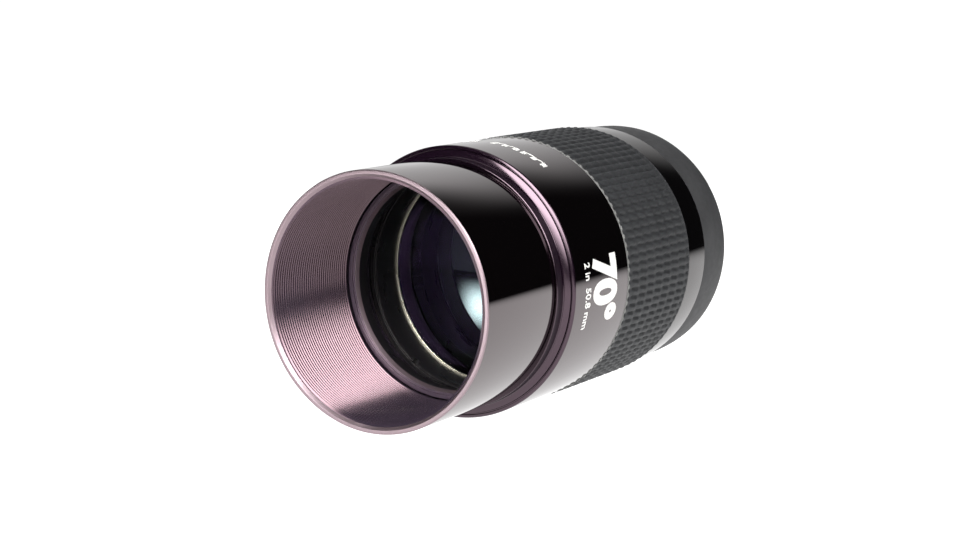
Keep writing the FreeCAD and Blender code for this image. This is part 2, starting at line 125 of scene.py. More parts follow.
def turned(name, outline, ease=0.12, steps=TURNING_STEPS, closed=True):
    """Lathe a piece: its section is drawn ring by ring, each extruded from the one before."""
    points = eased(outline, ease, closed)
    start_afresh()
    radius, station = points[0]
    bpy.ops.mesh.primitive_circle_add(
        vertices=steps,
        radius=radius * MM,
        location=(0, station * MM, 0),
        rotation=(math.pi / 2, 0, 0),
    )
    piece = bpy.context.object
    piece.name = name
    bpy.ops.object.transform_apply(location=True, rotation=True, scale=True)
    bpy.ops.object.mode_set(mode="EDIT")
    bpy.ops.mesh.select_all(action="SELECT")
    for next_radius, next_station in points[1:] + (points[:1] if closed else []):
        bpy.ops.mesh.extrude_region()
        growth = next_radius / radius
        centre = (0, station * MM, 0)
        bpy.ops.transform.resize(value=(growth, 1, growth), center_override=centre)
        bpy.ops.transform.translate(value=(0, (next_station - station) * MM, 0))
        radius, station = next_radius, next_station
    bpy.ops.mesh.select_all(action="SELECT")
    bpy.ops.mesh.remove_doubles(threshold=SAME_PLACE * MM)
    bpy.ops.mesh.normals_make_consistent(inside=False)
    bpy.ops.object.mode_set(mode="OBJECT")
    return piece


def smooth(piece, angle=30):
    """Shade smooth, but keep edges that turn by more than an angle."""
    start_afresh()
    piece.select_set(True)
    bpy.context.view_layer.objects.active = piece
    bpy.ops.object.shade_smooth_by_angle(angle=math.radians(angle))


def lies_outside(polygon, piece, radius):
    """Is a face wholly at least this far from the axis?"""
    corners = (piece.data.vertices[index].co for index in polygon.vertices)
    return all(math.hypot(corner.x, corner.z) >= radius * MM for corner in corners)


def select_open_edges(piece, low, high):
    """Select the edges with one face whose ends lie between two stations."""
    bpy.ops.object.mode_set(mode="EDIT")
    bpy.ops.mesh.select_mode(type="EDGE")
    bpy.ops.mesh.select_all(action="DESELECT")
    bpy.ops.mesh.select_non_manifold(
        extend=False, use_wire=False, use_boundary=True, use_multi_face=False,
        use_non_contiguous=False, use_verts=False,
    )
    bpy.ops.object.mode_set(mode="OBJECT")
    for edge in piece.data.edges:
        ends = [piece.data.vertices[index].co.y / MM for index in edge.vertices]
        edge.select = edge.select and low <= min(ends) and max(ends) <= high
    bpy.ops.object.mode_set(mode="EDIT")


def cut_thread(name):
    """The filter thread: one pitch of its outline, swept along the helix, faced off square."""
    crest_flat, root_flat = THREAD_PITCH / 4, THREAD_PITCH / 8
    flank = (THREAD_PITCH - crest_flat - root_flat) / 2
    depth = THREAD_ROOT - THREAD_CREST
    face = BARREL_RIM + MOUTH_CHAMFER
    start_afresh()
    start = (THREAD_CREST * MM, (BARREL_RIM - THREAD_PITCH) * MM, 0)
    bpy.ops.mesh.primitive_plane_add(size=MM, location=start)
    thread = bpy.context.object
    thread.name = name
    bpy.ops.object.mode_set(mode="EDIT")
    bpy.ops.mesh.select_all(action="SELECT")
    bpy.ops.mesh.merge(type="CENTER")
    for across, along in ((0, crest_flat), (depth, flank), (0, root_flat), (-depth, flank)):
        bpy.ops.mesh.extrude_region()
        bpy.ops.transform.translate(value=(across * MM, along * MM, 0))
    bpy.ops.object.mode_set(mode="OBJECT")
    bpy.ops.object.transform_apply(location=True, rotation=True, scale=True)
    sweep = thread.modifiers.new("helix", "SCREW")
    sweep.axis = "Y"
    sweep.angle = math.tau
    sweep.screw_offset = THREAD_PITCH * MM
    sweep.iterations = math.ceil((BARREL_THREAD_END - BARREL_RIM) / THREAD_PITCH) + 2
    sweep.steps = THREAD_STEPS
    sweep.render_steps = THREAD_STEPS
    bpy.ops.object.modifier_apply(modifier=sweep.name)
    bpy.ops.object.mode_set(mode="EDIT")
    bpy.ops.mesh.select_all(action="SELECT")
    bpy.ops.mesh.remove_doubles(threshold=SAME_PLACE * MM)
    for station, below, above in ((face, True, False), (BARREL_THREAD_END, False, True)):
        bpy.ops.mesh.select_all(action="SELECT")
        bpy.ops.mesh.bisect(
            plane_co=(0, station * MM, 0), plane_no=(0, 1, 0),
            clear_inner=below, clear_outer=above, threshold=0.001 * MM,
        )
    bpy.ops.object.mode_set(mode="OBJECT")
    return thread


def principled(name, base, roughness, metallic=0.0, ior=1.5):
    """A new material with the shader's plain values set."""
    material = bpy.data.materials.new(name)
    material.use_nodes = True
    shader = material.node_tree.nodes["Principled BSDF"]
    shader.inputs["Base Color"].default_value = (*base, 1)
    shader.inputs["Roughness"].default_value = roughness
    shader.inputs["Metallic"].default_value = metallic
    shader.inputs["IOR"].default_value = ior
    return material, shader


def add_node(material, kind, **values):
    """Add a node and set its inputs, or its settings where it has no such input."""
    node = material.node_tree.nodes.new(kind)
    for key, value in values.items():
        socket = node.inputs.get(key.replace("_", " "))
        if socket is None:
            setattr(node, key, value)
        else:
            socket.default_value = value
    return node


def spread(material, source, low, high):
    """Map a factor onto a range of values."""
    remap = add_node(material, "ShaderNodeMapRange", To_Min=low, To_Max=high)
    material.node_tree.links.new(source, remap.inputs["Value"])
    return remap.outputs["Result"]


def add_bump(material, shader, height, distance):
    """Raise the surface by a height pattern, over a distance in millimetres."""
    bump = add_node(material, "ShaderNodeBump", Strength=1.0, Distance=distance * MM)
    material.node_tree.links.new(height, bump.inputs["Height"])
    material.node_tree.links.new(bump.outputs["Normal"], shader.inputs["Normal"])


def noise(material, scale, detail=3.0, stretch=(1, 1, 1)):
    """A noise pattern on the piece's own coordinates, in cycles per metre."""
    place = add_node(material, "ShaderNodeTexCoord")
    squeeze = add_node(material, "ShaderNodeMapping", Scale=stretch)
    grain = add_node(material, "ShaderNodeTexNoise", Scale=scale, Detail=detail)
    material.node_tree.links.new(place.outputs["Object"], squeeze.inputs["Vector"])
    material.node_tree.links.new(squeeze.outputs["Vector"], grain.inputs["Vector"])
    return grain.outputs["Fac"]


TOOL_MARK_SPACING = 0.18


def tool_marks(material):
    """Fine rings round the axis, as a turning tool leaves them on a tube or a face."""
    links = material.node_tree.links
    place = add_node(material, "ShaderNodeTexCoord")
    split = add_node(material, "ShaderNodeSeparateXYZ")
    radial = add_node(material, "ShaderNodeVectorMath", operation="MULTIPLY")
    radial.inputs[1].default_value = (1, 0, 1)
    radius = add_node(material, "ShaderNodeVectorMath", operation="LENGTH")
    section = add_node(material, "ShaderNodeCombineXYZ")
    rings = add_node(material, "ShaderNodeTexNoise", Detail=2.0)
    rings.inputs["Scale"].default_value = 1 / (TOOL_MARK_SPACING * MM)
    links.new(place.outputs["Object"], split.inputs[0])
    links.new(place.outputs["Object"], radial.inputs[0])
    links.new(radial.outputs[0], radius.inputs[0])
    links.new(radius.outputs["Value"], section.inputs["X"])
    links.new(split.outputs["Y"], section.inputs["Y"])
    links.new(section.outputs[0], rings.inputs["Vector"])
    return rings.outputs["Fac"]


def turned_metal(name, base, tint, ior, smoothest, roughest, metallic=0.0, marks=0.0):
    """Turned metal, bare or anodised: a cloudy polish and tool marks of a depth in millimetres."""
    material, shader = principled(name, base, roughest, metallic, ior)
    shader.inputs["Specular Tint"].default_value = (*tint, 1)
    haze = noise(material, 140, stretch=(1, 2.5, 1))
    roughness = spread(material, haze, smoothest, roughest)
    material.node_tree.links.new(roughness, shader.inputs["Roughness"])
    if marks:
        add_bump(material, shader, tool_marks(material), marks)
    return material


POLISHED_BLACK = turned_metal(
    "polished_black_anodise", (0.0012, 0.0008, 0.001), (1.0, 0.86, 0.88), 2.05, 0.015, 0.05,
)
VIOLET_ANODISE = turned_metal(
    "violet_turned_anodise", (0.005, 0.002, 0.005), (1.0, 0.74, 0.87), 1.76, 0.1, 0.17,
    marks=0.0012,
)
THREAD_ANODISE = turned_metal(
    "thread_anodise", (0.022, 0.016, 0.024), (1.0, 0.68, 0.75), 1.85, 0.12, 0.2, marks=0.001,
)
COLLAR_ANODISE = turned_metal(
    "dull_collar_anodise", (0.009, 0.005, 0.009), (1.0, 0.8, 0.9), 1.5, 0.3, 0.42, marks=0.001,
)
RIM_ANODISE = turned_metal(
    "worn_rim_anodise", (0.28, 0.215, 0.235), (1.0, 0.85, 0.9), 1.9, 0.32, 0.42, metallic=0.9,
)

barrel = turned("nose_barrel_tube", [
    (THREAD_ROOT + 0.01, BARREL_RIM + MOUTH_CHAMFER - 0.02),
    (MOUTH_RADIUS, BARREL_RIM),
    (BARREL_RADIUS - RIM_BEVEL, BARREL_RIM),
    (BARREL_RADIUS, BARREL_RIM + RIM_BEVEL),
    (BARREL_RADIUS, COLLAR_LINE - 0.4),
    (BARREL_RADIUS - COLLAR_LINE_DEPTH, COLLAR_LINE - 0.15),
    (BARREL_RADIUS, COLLAR_LINE),
    (BARREL_RADIUS, -0.4),
    (BARREL_RADIUS + 0.06, -0.18),
    (BARREL_RADIUS + 0.22, 0),
    (SPIGOT_RADIUS, 0),
    (SPIGOT_RADIUS, BARREL_SPIGOT_END),
    (SPIGOT_BORE, BARREL_SPIGOT_END),
    (SPIGOT_BORE, 1.8),
    (STOP_LIP_BORE, 1.8),
    (STOP_LIP_BORE, STOP_LIP_FRONT),
    (THREAD_RELIEF, STOP_LIP_FRONT),
    (THREAD_RELIEF, BARREL_THREAD_END),
], ease=0.1, closed=False)
thread = cut_thread("filter_thread")
start_afresh()
thread.select_set(True)
barrel.select_set(True)
bpy.context.view_layer.objects.active = barrel
bpy.ops.object.join()
for station, reach in ((BARREL_RIM, MOUTH_CHAMFER + 0.1), (BARREL_THREAD_END, 0.1)):
    select_open_edges(barrel, station - reach, station + reach)
    bpy.ops.mesh.bridge_edge_loops()
bpy.ops.mesh.select_all(action="SELECT")
bpy.ops.mesh.normals_make_consistent(inside=False)
bpy.ops.object.mode_set(mode="OBJECT")
barrel_finishes = (POLISHED_BLACK, THREAD_ANODISE, RIM_ANODISE, COLLAR_ANODISE, VIOLET_ANODISE)
for finish in barrel_finishes:
    barrel.data.materials.append(finish)
for polygon in barrel.data.polygons:
    station = polygon.center.y / MM
    faces_nose = polygon.normal.y < -0.3
    if station < BARREL_RIM + MOUTH_CHAMFER * 0.9 and faces_nose:
        finish = RIM_ANODISE
    elif not lies_outside(polygon, barrel, BARREL_RADIUS - COLLAR_LINE_DEPTH - 0.02):
        finish = THREAD_ANODISE
    elif station < COLLAR_LINE - 0.3 or station > 0.1:
        finish = POLISHED_BLACK
    else:
        finish = VIOLET_ANODISE if polygon.normal.y < -0.1 else COLLAR_ANODISE
    polygon.material_index = barrel_finishes.index(finish)
smooth(barrel, 28)
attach(barrel, "eyepiece")
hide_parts("nose_barrel")


# Field stop: a stepped aluminium ring, violet anodised like the nose, screwed against the
# lip at the bottom of the thread. Its thin inner edge is the edge of the field of view.

STOP_RADIUS = 21.75
field_stop = turned("field_stop", [
    (STOP_RADIUS, -1.0),
    (22.3, -1.8),
    (22.7, -1.8),
    (22.7, -2.3),
    (23.5, -2.3),
    (23.5, -0.2),
    (22.55, -0.2),
    (22.55, 1.8),
    (STOP_RADIUS, 1.8),
], ease=0.07)
MATT_BLACK = turned_metal(
    "matt_black_anodise", (0.011, 0.01, 0.011), (1.0, 0.96, 0.94), 1.5, 0.22, 0.36, marks=0.002,
)
STOP_ANODISE = turned_metal(
    "field_stop_anodise", (0.05, 0.036, 0.05), (1.0, 0.76, 0.86), 1.9, 0.16, 0.24, marks=0.0012,
)
stop_finishes = (STOP_ANODISE, MATT_BLACK, RIM_ANODISE)
for finish in stop_finishes:
    field_stop.data.materials.append(finish)
for polygon in field_stop.data.polygons:
    if lies_outside(polygon, field_stop, 22.28):
        finish = STOP_ANODISE
    else:
        finish = MATT_BLACK if polygon.center.y > -0.95 * MM else RIM_ANODISE
    polygon.material_index = stop_finishes.index(finish)
smooth(field_stop)
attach(field_stop, "eyepiece")
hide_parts("field_stop_ring")


# Housing: one aluminium turning, polished and black anodised, that everything else fixes to.
# Its front face is a shallow cone, a groove and a bevelled edge. The rubber grip sits in a recess
# behind the polished front.

HOUSING_RADIUS = 27.75
BARREL_SEAT = 25.05
RECESS_RADIUS = 26.5
HOUSING_REAR_RADIUS = 26.0
CELL_NECK_BORE = 23.0
CELL_SHOULDER = 50
EDGE_BEVEL = 0.25
GRIP_CLEARANCE = 0.1
GRIP_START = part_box("grip_sleeve")[0].y / MM - GRIP_CLEARANCE
GRIP_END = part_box("grip_sleeve")[1].y / MM + GRIP_CLEARANCE
HOUSING_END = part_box("main_housing")[1].y / MM
housing = turned("housing_shell", [
    (BARREL_SEAT, 0),
    (25.45, 0),
    (26.75, 0.5),
    (26.78, 0.95),
    (27.08, 0.95),
    (27.1, 0.45),
    (27.58, 0.62),
    (HOUSING_RADIUS, 0.85),
    (HOUSING_RADIUS, GRIP_START - EDGE_BEVEL),
    (HOUSING_RADIUS - EDGE_BEVEL, GRIP_START),
    (RECESS_RADIUS, GRIP_START),
    (RECESS_RADIUS, GRIP_END),
    (HOUSING_REAR_RADIUS, GRIP_END),
    (HOUSING_REAR_RADIUS, HOUSING_END),
    (CELL_NECK_BORE, HOUSING_END),
    (CELL_NECK_BORE, CELL_SHOULDER),
    (BARREL_SEAT, CELL_SHOULDER),
], ease=0.06)
housing.data.materials.append(POLISHED_BLACK)
housing.data.materials.append(VIOLET_ANODISE)
for polygon in housing.data.polygons:
    faces_nose = polygon.center.y < 0.97 * MM and not lies_outside(polygon, housing, 27.65)
    polygon.material_index = 1 if faces_nose else 0
smooth(housing)
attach(housing, "eyepiece")
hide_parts("main_housing")


# Grip: a sleeve of black rubber, moulded with a basket weave of raised pads, stretched over
# the housing's recess. Pads alternate with short pits along a row and long slits between rows.

GRIP_RADIUS = 27.95
GRIP_SEAT = 26.55
PAD_PITCH = 3.8
PAD_ROWS = 100
WEAVE_DEPTH = 0.65
STEPS_PER_PAD = 14
STEPS_PER_ROW = 8
GRIP_BORDER = 0.35
EDGE_ROLL = 0.15


def weave_height(along, around):
    """Height of the weave from 0 to 1, at a number of pads along and of rows around."""
    lengthwise = math.tanh(2.2 * (math.cos(math.tau * along) + 0.35))
    crosswise = math.cos(math.tau * around + 0.35 * math.sin(math.tau * along))
    ridge = math.tanh(2.6 * (crosswise * (0.6 + 0.4 * lengthwise) + 0.42))
    return 0.52 + 0.48 * ridge - 0.12 * (1 - lengthwise)


def moulded_rubber(name, base, grain_scale, grain_depth):
    """Black rubber: matte, finely grained, paler where it has been rubbed."""
    material, shader = principled(name, base, 0.62, ior=1.45)
    blotch = noise(material, 160, detail=4)
    tone = add_node(material, "ShaderNodeMix", data_type="RGBA")
    tone.inputs["A"].default_value = (*(channel * 0.75 for channel in base), 1)
    tone.inputs["B"].default_value = (*(channel * 1.3 for channel in base), 1)
    material.node_tree.links.new(blotch, tone.inputs["Factor"])
    material.node_tree.links.new(tone.outputs["Result"], shader.inputs["Base Color"])
    roughness = spread(material, noise(material, 700), 0.5, 0.75)
    material.node_tree.links.new(roughness, shader.inputs["Roughness"])
    add_bump(material, shader, noise(material, grain_scale, detail=5), grain_depth)
    return material


start_afresh()
grip_middle = (GRIP_START + GRIP_END) / 2
half_length = (GRIP_END - GRIP_START) / 2 - GRIP_CLEARANCE
pads_along = 2 * half_length / PAD_PITCH
columns = round(pads_along * STEPS_PER_PAD)
bpy.ops.mesh.primitive_grid_add(x_subdivisions=columns, y_subdivisions=STEPS_PER_ROW, size=2)
grip = bpy.context.object
grip.name = "grip_weave"
for vertex in grip.data.vertices:
    station = vertex.co.x * half_length
    row_share = vertex.co.y / 2
    border = max(0.0, 1 - (half_length - abs(station)) / GRIP_BORDER)
    height = max(weave_height(station / PAD_PITCH, row_share), min(1, 3 * border))
    radius = GRIP_RADIUS - WEAVE_DEPTH * (1 - height) - EDGE_ROLL * border ** 3
    turn = math.tau * row_share / PAD_ROWS
    place = (radius * math.cos(turn), grip_middle + station, radius * math.sin(turn))
    vertex.co = Vector(place) * MM
bpy.ops.object.mode_set(mode="EDIT")
bpy.ops.mesh.select_all(action="SELECT")
bpy.ops.mesh.spin(
    steps=PAD_ROWS, dupli=True, angle=math.tau, center=(0, 0, 0), axis=(0, 1, 0),
)
bpy.ops.mesh.select_all(action="SELECT")
bpy.ops.mesh.remove_doubles(threshold=0.004 * MM)
bpy.ops.object.mode_set(mode="OBJECT")
for station in (GRIP_START + GRIP_CLEARANCE, GRIP_END - GRIP_CLEARANCE):
    select_open_edges(grip, station - 0.05, station + 0.05)
    bpy.ops.mesh.extrude_region()
    shrink = GRIP_SEAT / (GRIP_RADIUS - EDGE_ROLL)
    bpy.ops.transform.resize(value=(shrink, 1, shrink), center_override=(0, station * MM, 0))
    bpy.ops.object.mode_set(mode="OBJECT")
select_open_edges(grip, GRIP_START, GRIP_END)
bpy.ops.mesh.bridge_edge_loops()
bpy.ops.mesh.select_all(action="SELECT")
bpy.ops.mesh.normals_make_consistent(inside=False)
bpy.ops.object.mode_set(mode="OBJECT")
grip.data.materials.append(moulded_rubber("grip_rubber", (0.028, 0.029, 0.031), 5200, 0.02))
# The paler band on the grip's front edge is partly wear and partly a painted highlight: it stands
# for the light that the rounded edge catches.
grip.data.materials.append(moulded_rubber("worn_and_highlit_grip_edge", (0.17, 0.17, 0.165), 3800, 0.03))
for polygon in grip.data.polygons:
    polygon.material_index = 1 if polygon.center.y < (GRIP_START + 0.3) * MM else 0
smooth(grip, 60)
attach(grip, "eyepiece")
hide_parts("grip_sleeve")


# Eye-end ring: a polished black ring screwed over the housing behind the grip. Its cone
# opens from the eye lens to the spigot that the eyecup snaps on.

RING_RADIUS = 27.35
RING_END = 62.9
RING_BORE = 26.05
SPIGOT_RING_RADIUS = 24.6
SPIGOT_GROOVE_RADIUS = 24.0
SPIGOT_RING_END = 67.0
EYE_OPENING = 20.8
CONE_STEPS = 9
cone_low, cone_high = Vector((EYE_OPENING, 59.6)), Vector((23.4, SPIGOT_RING_END))
anti_glare_steps = []
for step in range(CONE_STEPS, 0, -1):
    upper = cone_low.lerp(cone_high, step / CONE_STEPS)
    lower = cone_low.lerp(cone_high, (step - 1) / CONE_STEPS)
    anti_glare_steps += [(upper.x, upper.y), (upper.x, lower.y + 0.05)]
eye_ring = turned("eye_end_ring_shell", [
    (RING_BORE, GRIP_END),
    (RING_RADIUS - EDGE_BEVEL, GRIP_END),
    (RING_RADIUS, GRIP_END + EDGE_BEVEL),
    (RING_RADIUS, RING_END - EDGE_BEVEL),
    (RING_RADIUS - EDGE_BEVEL, RING_END),
    (SPIGOT_RING_RADIUS, RING_END),
    (SPIGOT_RING_RADIUS, 63.6),
    (SPIGOT_GROOVE_RADIUS, 63.6),
    (SPIGOT_GROOVE_RADIUS, 64.9),
    (SPIGOT_RING_RADIUS, 64.9),
    (SPIGOT_RING_RADIUS, SPIGOT_RING_END),
    *anti_glare_steps,
    (EYE_OPENING, 58.3),
    (RING_BORE, 58.3),
], ease=0.05)
SATIN_BLACK = turned_metal(
    "satin_black_anodise", (0.0015, 0.0013, 0.0016), (1.0, 0.94, 0.94), 1.85, 0.03, 0.07,
)
eye_ring.data.materials.append(SATIN_BLACK)
eye_ring.data.materials.append(MATT_BLACK)
for polygon in eye_ring.data.polygons:
    polygon.material_index = 0 if lies_outside(polygon, eye_ring, SPIGOT_RING_RADIUS + 0.1) else 1
smooth(eye_ring)
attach(eye_ring, "eyepiece")
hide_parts("eye_end_ring")


# Eyecup: one soft rubber moulding that snaps over the ring's spigot and flares slightly to a
# rounded rim. It is built upright; the real cup folds down for an observer who wears glasses.

CUP_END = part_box("eyecup_lip")[1].y / MM
CUP_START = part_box("eyecup_base")[0].y / MM
cup_outside = [
    (26.3, CUP_START),
    (26.42, 63.8),
    (26.58, 64.8),
    (26.75, 65.9),
    (26.9, 67.2),
    (26.98, 68.6),
    (27.0, 70.2),
    (26.98, 71.8),
    (26.9, 73.4),
    (26.75, 74.7),
    (26.5, 75.4),
    (26.15, 75.78),
    (25.75, CUP_END),
    (25.35, 75.8),
    (25.05, 75.4),
    (24.9, 74.8),
]
cup_inside = [(24.9, 74.8 - step) for step in range(1, 8)]
cup_bead = [
    (24.9, 66.9),
    (24.65, 66.6),
    (24.65, 64.85),
    (24.05, 64.85),
    (24.05, 63.65),
    (24.65, 63.65),
    (24.65, CUP_START),
]
eyecup = turned("eyecup", cup_outside + cup_inside + cup_bead, ease=0.1, steps=192)
eyecup.data.materials.append(moulded_rubber("eyecup_rubber", (0.043, 0.043, 0.045), 9000, 0.008))
smooth(eyecup, 40)
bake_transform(eyecup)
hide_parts("eyecup_base", "eyecup_skirt", "eyecup_lip")


# Lens cell: a blackened aluminium tube inside the housing, bored from both ends. A slotted
# ring screws in ahead of the field lens, another behind the eye lens.

cell = turned("lens_cell_tube", [
    (24.1, 8.0),
    (25.0, 8.0),
    (25.0, 33.8),
    (24.65, 34.9),
    (24.65, 37.1),
    (25.0, 38.2),
    (25.0, 48.3),
    (23.8, 48.3),
    (23.8, 49.9),
    (22.9, 49.9),
    (22.9, 58.2),
    (20.6, 58.2),
    (20.6, 46.1),
    (19.2, 46.1),
    (19.2, 44.6),
    (24.1, 44.6),
], steps=160)
cell.data.materials.append(MATT_BLACK)
smooth(cell)
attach(cell, "eyepiece")
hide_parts("lens_cell")

SLOT_WIDTH = 1.2
SLOT_DEPTH = 1.4
CUTTER_MARGIN = 1
FIELD_SLOT_ANGLE = 54
EYE_SLOT_ANGLE = 0


def slot_ring(ring, face, inwards, outer, angle):
    """Mill one slot straight across a ring's face, at an angle in degrees from +X to +Z."""
    start_afresh()
    depth_middle = face + inwards * (SLOT_DEPTH - CUTTER_MARGIN) / 2
    bpy.ops.mesh.primitive_cube_add(size=1, location=(0, depth_middle * MM, 0))
    cutter = bpy.context.object
    length = 2 * (outer + CUTTER_MARGIN)
    cutter.scale = (length * MM, (SLOT_DEPTH + CUTTER_MARGIN) * MM, SLOT_WIDTH * MM)
    cutter.rotation_euler.y = -math.radians(angle)
    milling = ring.modifiers.new("slots", "BOOLEAN")
    milling.object = cutter
    milling.operation = "DIFFERENCE"
    milling.solver = "EXACT"
    bpy.context.view_layer.objects.active = ring
    bpy.ops.object.modifier_apply(modifier=milling.name)
    bpy.data.objects.remove(cutter)


FIELD_RING_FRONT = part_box("field_retaining_ring")[0].y / MM
field_ring = turned("field_ring", [
    (23.15, 8.0),
    (23.4, FIELD_RING_FRONT),
    (23.65, FIELD_RING_FRONT),
    (24.05, 7.9),
    (24.05, 15.25),
    (23.15, 15.25),
], ease=0.08, steps=192)
slot_ring(field_ring, FIELD_RING_FRONT, 1, 24.1, FIELD_SLOT_ANGLE)
EYE_RING_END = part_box("eye_retaining_ring")[1].y / MM
eye_lens_ring = turned("eye_lens_ring", [
    (18.6, 55.5),
    (20.55, 55.5),
    (20.55, EYE_RING_END),
    (19.6, EYE_RING_END),
    (18.6, EYE_RING_END - 1.4),
], ease=0.08, steps=192)
slot_ring(eye_lens_ring, EYE_RING_END, -1, 20.6, EYE_SLOT_ANGLE)
for ring, node in ((field_ring, "field_retaining_ring"), (eye_lens_ring, "eye_retaining_ring")):
    ring.data.materials.append(MATT_BLACK)
    smooth(ring)
    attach(ring, "eyepiece")
    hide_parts(node)


# Seat ring: a thin ring of bare metal between the retaining ring and the first lens, whose
# bright inner edge shows as a line of light.

seat_ring = turned("bright_seat_ring", [
    (22.9, 15.3),
    (24.05, 15.3),
    (24.05, 15.85),
    (22.9, 15.85),
], ease=0.08, steps=192)
bare_metal = turned_metal(
    "bare_metal", (0.78, 0.74, 0.6), (1.0, 1.0, 1.0), 1.5, 0.2, 0.32, metallic=1.0, marks=0.001,
)
seat_ring.data.materials.append(bare_metal)
smooth(seat_ring)
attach(seat_ring, "eyepiece")
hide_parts("field_seat_ring")


# Lenses: two cemented pairs with a single lens between them, ground from flint and crown
# glass. Anti-reflection coats leave weak violet and blue-violet reflections.
# The front lens of a pair passes a little into the one behind, as cement leaves no air.

ARC_STEPS = 14
AXIS_HOLE = 0.002
CEMENT_OVERLAP = 0.02
FIELD_RIM = 23.95
EYE_RIM = 20.5
FIELD_JOINT = 19.72
EYE_JOINT = 54.42


def sag(curve, radius):
    """How far a face of this curvature falls away from its vertex, at a radius."""
    return curve - math.copysign(math.sqrt(curve * curve - radius * radius), curve)


def lens(name, rim, front, rear):
    """A lens from two vertices with signed curves: positive bulges towards the nose."""
    radii = [rim * step / ARC_STEPS for step in range(1, ARC_STEPS + 1)]
    front_face = [(radius, front[0] + sag(front[1], radius)) for radius in radii]
    rear_face = [(radius, rear[0] + sag(rear[1], radius)) for radius in radii]
    outline = [(AXIS_HOLE, front[0])] + front_face + rear_face[::-1] + [(AXIS_HOLE, rear[0])]
    glass = turned(name, outline, closed=False, steps=128)
    bpy.ops.object.mode_set(mode="EDIT")
    for vertex_station in (front[0], rear[0]):
        bpy.ops.mesh.select_all(action="DESELECT")
        bpy.ops.object.mode_set(mode="OBJECT")
        for vertex in glass.data.vertices:
            near_axis = math.hypot(vertex.co.x, vertex.co.z) < 2 * AXIS_HOLE * MM
            vertex.select = near_axis and abs(vertex.co.y - vertex_station * MM) < 0.1 * MM
        bpy.ops.object.mode_set(mode="EDIT")
        bpy.ops.mesh.merge(type="CENTER")
    bpy.ops.mesh.select_all(action="SELECT")
    bpy.ops.mesh.normals_make_consistent(inside=False)
    bpy.ops.object.mode_set(mode="OBJECT")
    smooth(glass, 30)
    return glass


GLASS_TINT = (0.81, 0.85, 0.865)


def coated_glass(name, coat, ior):
    """Clear glass whose coat tints its reflections."""
    material, shader = principled(name, GLASS_TINT, 0.0, ior=ior)
    shader.inputs["Transmission Weight"].default_value = 1
    shader.inputs["Specular Tint"].default_value = (*coat, 1)
    wiped = spread(material, noise(material, 60), 0.0, 0.012)
    material.node_tree.links.new(wiped, shader.inputs["Roughness"])
    return material


violet_coat = coated_glass("violet_coated_glass", (0.045, 0.03, 0.065), 1.6)
blue_coat = coated_glass("blue_coated_glass", (0.2, 0.1, 0.28), 1.52)
# Piece, node, rim radius, then vertex station and curve of the front and of the rear.
lenses = (
    ("field_flint", "field_flint_lens", FIELD_RIM,
     (17.9, -150), (FIELD_JOINT + CEMENT_OVERLAP, 60), violet_coat),
    ("field_crown", "field_crown_lens", FIELD_RIM, (FIELD_JOINT, 60), (30.7, -60), blue_coat),
    ("centre_crown", "centre_lens", FIELD_RIM, (31.4, 70), (41.4, -70), violet_coat),
    ("eye_crown", "eye_crown_lens", EYE_RIM,
     (41.9, 45), (EYE_JOINT + CEMENT_OVERLAP, -38), blue_coat),
    ("eye_flint", "eye_flint_lens", EYE_RIM, (EYE_JOINT, -38), (56.3, -200), blue_coat),
)
for name, node, rim, front, rear, coat in lenses:
    glass = lens(name, rim, front, rear)
    glass.data.materials.append(coat)
    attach(glass, "eyepiece")
    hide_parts(node)


# Hidden parts keep their CAD shapes: two blackened spacers between the lenses, the rubber
# seal at the cell's shoulder and the steel grub screws under the grip.

seal_rubber = moulded_rubber("seal_rubber", (0.015, 0.015, 0.016), 4000, 0.01)
screw_steel = turned_metal(
    "blackened_steel", (0.09, 0.09, 0.095), (1.0, 1.0, 1.0), 1.5, 0.3, 0.45, metallic=1.0,
)
hidden = {
    "field_spacer_ring": MATT_BLACK,
    "centre_spacer_ring": MATT_BLACK,
    "cell_o_ring": seal_rubber,
    "cell_lock_screws": screw_steel,
}
for node, material in hidden.items():
    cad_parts[node].data.materials.clear()
    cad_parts[node].data.materials.append(material)


# Printing: white ink on the polished front, pad-printed round the curve. It gives the
# apparent field, the nose size and the focal length as plain figures.

INK_THICKNESS = 0.03
INK_GAP = 0.004
INK_RADIUS = HOUSING_RADIUS + INK_GAP
SLICE = 0.6


def printed(name, words, height, length, station, angle, weight):
    """Words wrapped on the housing. Their feet stand at a station, their start at an angle."""
    start_afresh()
    bpy.ops.object.text_add()
    text = bpy.context.object
    text.name = name
    text.data.body = words
    text.data.size = 1
    text.data.offset = weight
    text.data.extrude = 0.5
    text.data.resolution_u = 6
    bpy.ops.object.convert(target="MESH")
    ink = bpy.context.object
    tops = max(vertex.co.y for vertex in ink.data.vertices)
    lefts = min(vertex.co.x for vertex in ink.data.vertices)
    bpy.ops.object.mode_set(mode="EDIT")
    bpy.ops.mesh.select_all(action="SELECT")
    bpy.ops.mesh.remove_doubles(threshold=0.0005)
    scale = height / tops
    stretch = length / (max(vertex.co.x for vertex in ink.data.vertices) - lefts)
    for cut in range(1, math.ceil(length / SLICE)):
        bpy.ops.mesh.select_all(action="SELECT")
        across = lefts + cut * SLICE / stretch
        bpy.ops.mesh.bisect(plane_co=(across, 0, 0), plane_no=(1, 0, 0))
    bpy.ops.object.mode_set(mode="OBJECT")
    for vertex in ink.data.vertices:
        arc = (vertex.co.x - lefts) * stretch
        turn = math.radians(angle) - arc / HOUSING_RADIUS
        radius = INK_RADIUS + (vertex.co.z + 0.5) * INK_THICKNESS
        place = (radius * math.cos(turn), station + vertex.co.y * scale, radius * math.sin(turn))
        vertex.co = Vector(place) * MM
    bpy.ops.object.mode_set(mode="EDIT")
    bpy.ops.mesh.select_all(action="SELECT")
    bpy.ops.mesh.normals_make_consistent(inside=False)
    bpy.ops.object.mode_set(mode="OBJECT")
    return ink


